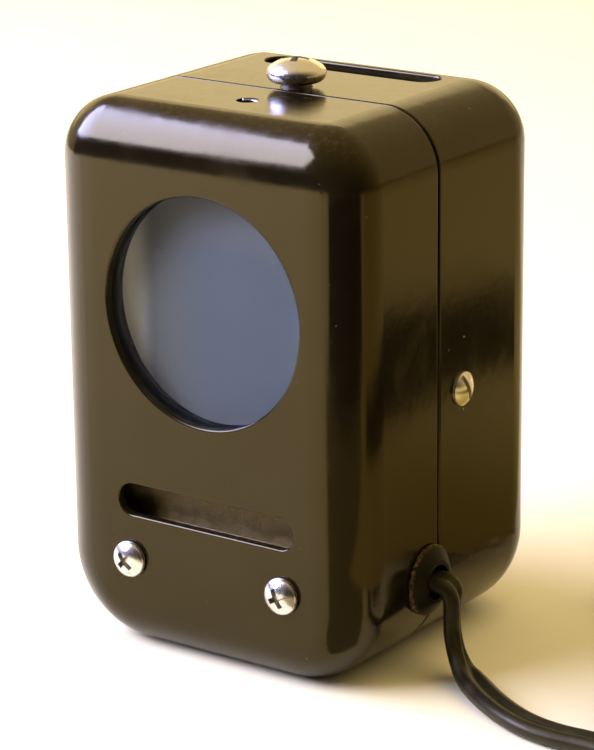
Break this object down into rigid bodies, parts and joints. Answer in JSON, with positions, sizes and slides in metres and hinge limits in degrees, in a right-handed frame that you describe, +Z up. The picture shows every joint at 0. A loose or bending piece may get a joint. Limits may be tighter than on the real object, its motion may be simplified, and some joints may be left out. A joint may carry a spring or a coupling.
{
  "type": "microscope lamp",
  "caption": "Small upright two-shell metal lamp house with a thick round blue window, a vent slot, a screw-in bulb and a flat twin cord with a plug.",
  "frame": {"origin": "on the surface that the lamp stands on, under the middle of the body without its cord", "axes": "+Z up, +Y towards the back (the window faces -Y), +X towards the side where the cord leaves"},
  "size_m": [0.1837, 0.0901, 0.107],
  "materials": {
    "black_enamel": "gloss black baked enamel with dust and small chips",
    "dark_steel": "darkened steel",
    "blue_glass": "thick blue glass, ground on the back",
    "spring_steel": "satin spring steel",
    "nickel": "bright nickel plate, lightly marked",
    "zinc_steel": "dull zinc plate",
    "rusty_steel": "brown, lightly rusted steel",
    "phenolic": "dark moulded phenolic",
    "brass": "tarnished brass",
    "cap_brass": "bright drawn brass",
    "black_glass": "black glass insulator",
    "solder": "dull solder",
    "clear_glass": "clear glass",
    "tungsten": "dark tungsten wire",
    "grommet_rubber": "aged black rubber, dusty",
    "cord_rubber": "satin black twin-lobe flex",
    "lead_insulation": "black rubber insulation",
    "plug_plastic": "black moulded plug",
    "blade_brass": "worn brass blades"
  },
  "bodies": {
    "lamp_house": {"front_shell": "black_enamel", "joint_band": "dark_steel", "blue_glass": "blue_glass", "glass_holder": "dark_steel", "snap_ring": "spring_steel", "front_screw_left": "nickel", "front_screw_right": "nickel", "bracket_nut_left": "zinc_steel", "bracket_nut_right": "zinc_steel", "tapped_nut": "zinc_steel", "socket_bracket": "rusty_steel", "socket_body": "phenolic", "socket_shell": "brass", "centre_contact": "brass", "socket_rivets": "zinc_steel", "terminal_screws": "brass", "grommet": "grommet_rubber", "strain_sleeve": "zinc_steel", "inner_lead_right": "lead_insulation", "inner_lead_left": "lead_insulation", "cord_run": "cord_rubber", "cord_coil": "cord_rubber", "cord_tail": "cord_rubber", "plug_body": "plug_plastic", "plug_boot": "cord_rubber", "plug_blades": "blade_brass"},
    "rear_cover": {"rear_shell": "black_enamel", "top_nut": "zinc_steel"},
    "left_screw_turn": {"side_screw_left": "nickel"},
    "left_nut_travel": {"side_nut_left": "zinc_steel"},
    "right_screw_turn": {"side_screw_right": "nickel"},
    "right_nut_travel": {"side_nut_right": "zinc_steel"},
    "top_screw_travel": {"top_clip": "spring_steel"},
    "top_screw_turn": {"top_screw": "nickel"},
    "bulb_travel": {"bulb_tip": "solder"},
    "bulb_turn": {"bulb_cap": "cap_brass", "bulb_insulator": "black_glass", "bulb_glass": "clear_glass", "bulb_stem": "clear_glass", "filament": "tungsten"}
  },
  "joints": [
    {"name": "cover_slide", "type": "slide", "parent": "lamp_house", "child": "rear_cover", "axis": [0, 1, 0], "range_m": [0, 0.06]},
    {"name": "left_screw", "type": "hinge", "parent": "rear_cover", "child": "left_screw_turn", "pos_m": [-0.0335, 0.00325, 0.0499], "axis": [-1, 0, 0], "range_deg": [0, 720]},
    {"name": "left_nut", "type": "slide", "parent": "rear_cover", "child": "left_nut_travel", "axis": [1, 0, 0], "range_m": [0, 0.00159]},
    {"name": "right_screw", "type": "hinge", "parent": "rear_cover", "child": "right_screw_turn", "pos_m": [0.0335, 0.00325, 0.0499], "axis": [1, 0, 0], "range_deg": [0, 720]},
    {"name": "right_nut", "type": "slide", "parent": "rear_cover", "child": "right_nut_travel", "axis": [-1, 0, 0], "range_m": [0, 0.00159]},
    {"name": "top_screw_lift", "type": "slide", "parent": "rear_cover", "child": "top_screw_travel", "axis": [0, 0, 1], "range_m": [-0.00088, 0.00211]},
    {"name": "top_screw", "type": "hinge", "parent": "top_screw_travel", "child": "top_screw_turn", "pos_m": [0.0005, -0.00025, 0.1034], "axis": [0, 0, 1], "range_deg": [-300, 720]},
    {"name": "bulb_lift", "type": "slide", "parent": "lamp_house", "child": "bulb_travel", "axis": [0, 0, 1], "range_m": [0, 0.00563]},
    {"name": "bulb_screw", "type": "hinge", "parent": "bulb_travel", "child": "bulb_turn", "pos_m": [0, 0.00165, 0.04], "axis": [0, 0, 1], "range_deg": [0, 720]}
  ],
  "couplings": [
    {"joint": "left_screw", "follows": "left_nut", "rad_per_m": 7915.8},
    {"joint": "right_screw", "follows": "right_nut", "rad_per_m": 7915.8},
    {"joint": "top_screw", "follows": "top_screw_lift", "rad_per_m": 5936.9},
    {"joint": "bulb_screw", "follows": "bulb_lift", "rad_per_m": 2228.1}
  ]
}
